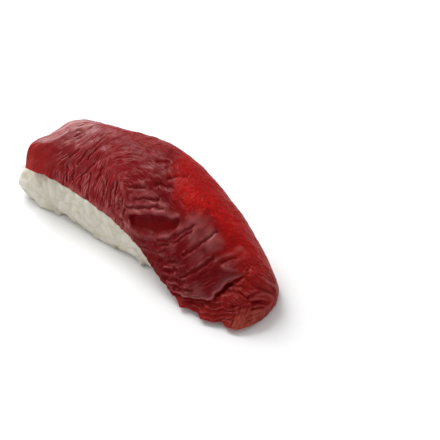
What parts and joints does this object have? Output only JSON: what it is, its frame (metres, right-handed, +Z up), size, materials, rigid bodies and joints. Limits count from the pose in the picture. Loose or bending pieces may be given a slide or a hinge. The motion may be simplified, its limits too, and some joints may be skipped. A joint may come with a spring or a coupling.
{
  "type": "tuna nigiri",
  "caption": "Bite-size piece of sushi: a pressed oblong of vinegared rice with a slice of raw red tuna draped over it and down one end.",
  "frame": {"origin": "bottom centre of the piece's bounding box, on the surface it rests on", "axes": "+X along the piece towards the end where the slice drapes down, -Y towards the side where the rice shows, +Z up"},
  "size_m": [0.0782, 0.028, 0.0229],
  "materials": {
    "vinegared_rice": "moist cooked rice grains, off-white and a little see-through, pressed together",
    "raw_tuna": "moist raw tuna, deep red with fine muscle fibres and a soft wet shine"
  },
  "bodies": {
    "root": {"rice": "vinegared_rice", "tuna_slice": "raw_tuna"}
  },
  "joints": []
}
